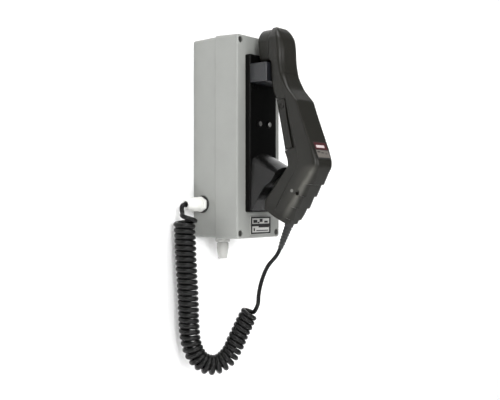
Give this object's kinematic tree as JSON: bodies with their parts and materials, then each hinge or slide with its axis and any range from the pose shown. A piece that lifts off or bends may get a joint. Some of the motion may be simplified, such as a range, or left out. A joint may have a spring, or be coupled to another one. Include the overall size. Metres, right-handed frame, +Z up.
{
  "type": "wall telephone handset station",
  "caption": "Wall-mounted intercom station: grey moulded box, black cradle, press-to-talk handset and curly cord.",
  "frame": {"origin": "centre of the enclosure's flat back face, which lies against the wall", "axes": "+Z up, +Y into the wall, -Y out into the room, +X to the right seen from the front"},
  "size_m": [0.1344, 0.1722, 0.4262],
  "materials": {
    "grey_housing": "light warm grey moulded polyester, fine satin texture",
    "black_seal": "matt black rubber",
    "steel_screw": "stainless steel",
    "brass": "turned brass",
    "black_cradle": "black moulded plastic, satin",
    "slate_rest": "dark slate moulded plastic, matt",
    "plate": "black printed aluminium with bare bars",
    "label": null,
    "green_board": "green solder mask",
    "dark_part": "black component plastic",
    "white_gland": "white nylon",
    "pale_gland": "pale grey nylon",
    "black_handset": "black moulded plastic, fine spark texture",
    "black_lever": "black moulded plastic, satin",
    "cord_jacket": "black elastomer, satin"
  },
  "bodies": {
    "housing": {"rear_box": "grey_housing", "lid": "grey_housing", "lid_gasket": "black_seal", "lid_screws": "steel_screw", "lid_inserts": "brass", "cradle_tray": "black_cradle", "earpiece_rest": "slate_rest", "mouthpiece_rest": "black_cradle", "tray_screws": "steel_screw", "tray_nuts": "steel_screw", "hook_spring": "steel_screw", "hook_switch": "dark_part", "nameplate": "plate", "terminal_board": "green_board", "board_pillars": "brass", "board_screws": "steel_screw", "terminal_block": "dark_part", "cord_gland_gasket": "black_seal", "cord_gland_body": "white_gland", "cord_gland_locknut": "white_gland", "cord_gland_nut": "white_gland", "cord_gland_seal": "black_seal", "line_gland_gasket": "black_seal", "line_gland_body": "pale_gland", "line_gland_locknut": "pale_gland", "line_gland_nut": "pale_gland", "line_gland_seal": "black_seal", "cord_tail": "cord_jacket", "cord_gland_lead": "cord_jacket", "cord_coil": "cord_jacket", "cord_handset_lead": "cord_jacket"},
    "handset": {"handset_outer_shell": "black_handset", "handset_inner_shell": "black_handset", "ptt_pin": "steel_screw", "ptt_switch": "dark_part", "ptt_spring": "steel_screw", "earpiece_cap": "black_handset", "receiver_capsule": "dark_part", "receiver_gasket": "black_seal", "mouthpiece_cap": "black_handset", "microphone_capsule": "dark_part", "microphone_gasket": "black_seal", "handset_board": "green_board", "grip_screws": "steel_screw", "handset_label": "label", "strain_relief": "cord_jacket"},
    "ptt_lever": {"ptt_lever": "black_lever"},
    "hook_plunger": {"hook_plunger": "black_lever"}
  },
  "joints": [
    {"name": "handset_lift", "type": "slide", "parent": "housing", "child": "handset", "axis": [0, -0.8189, 0.5739], "range_m": [0, 0.06]},
    {"name": "ptt_press", "type": "hinge", "parent": "handset", "child": "ptt_lever", "pos_m": [0, -0.1217, 0.0347], "axis": [-1, 0, 0], "range_deg": [0, 2.5], "stiffness_Nm_per_rad": 0.4, "springref_deg": -5.73, "deforming": ["ptt_spring"]},
    {"name": "hook_rise", "type": "slide", "parent": "housing", "child": "hook_plunger", "axis": [0, 0, 1], "range_m": [0, 0.004], "deforming": ["hook_spring"]}
  ],
  "couplings": [
    {"joint": "hook_rise", "follows": "handset_lift", "ratio": 0.0666}
  ]
}
